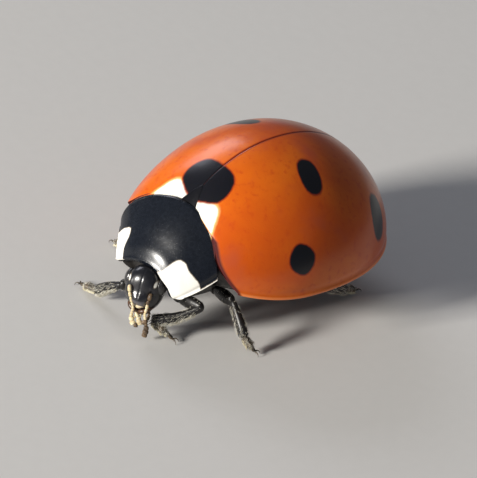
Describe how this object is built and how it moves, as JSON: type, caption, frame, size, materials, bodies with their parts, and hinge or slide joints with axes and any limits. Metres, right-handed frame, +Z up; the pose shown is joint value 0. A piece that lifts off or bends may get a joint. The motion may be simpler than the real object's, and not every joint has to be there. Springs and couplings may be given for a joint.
{
  "type": "ladybird",
  "caption": "Life-size still model of a seven-spot ladybird standing on six legs, head turned slightly to its left, wing cases closed.",
  "frame": {"origin": "on the floor, below the middle of the whole animal", "axes": "+Z up; the head points to -Y; the animal's left side is +X"},
  "size_m": [0.006, 0.0074, 0.0042],
  "materials": {
    "wing_case": "glossy orange-red chitin with black spots and a fine pale rim",
    "scutellum": "glossy black chitin",
    "pronotum": "satin black chitin, finely punctured, with ivory front corners",
    "head": "glossy black chitin with two pale spots between the eyes",
    "eye": "glossy black, finely faceted",
    "antenna": "pale yellow-brown segments with a darker club",
    "labrum": "cream lip plate",
    "mouthparts": "dark brown jaws and palps",
    "underside": "satin black plates with short fine hairs",
    "leg": "black chitin with fine pale hairs, browner feet"
  },
  "bodies": {
    "root": {"abdomen": "underside", "antenna_left": "antenna", "antenna_right": "antenna", "elytron_left": "wing_case", "elytron_right": "wing_case", "eye_left": "eye", "eye_right": "eye", "front_left_coxa": "leg", "front_left_femur": "leg", "front_left_tarsus": "leg", "front_left_tibia": "leg", "front_right_coxa": "leg", "front_right_femur": "leg", "front_right_tarsus": "leg", "front_right_tibia": "leg", "head": "head", "hind_left_coxa": "leg", "hind_left_femur": "leg", "hind_left_tarsus": "leg", "hind_left_tibia": "leg", "hind_right_coxa": "leg", "hind_right_femur": "leg", "hind_right_tarsus": "leg", "hind_right_tibia": "leg", "labrum": "labrum", "mandibles": "mouthparts", "mid_left_coxa": "leg", "mid_left_femur": "leg", "mid_left_tarsus": "leg", "mid_left_tibia": "leg", "mid_right_coxa": "leg", "mid_right_femur": "leg", "mid_right_tarsus": "leg", "mid_right_tibia": "leg", "palp_left": "mouthparts", "palp_right": "mouthparts", "pronotum": "pronotum", "prothorax": "underside", "scutellum": "scutellum", "thorax": "underside"}
  },
  "joints": []
}
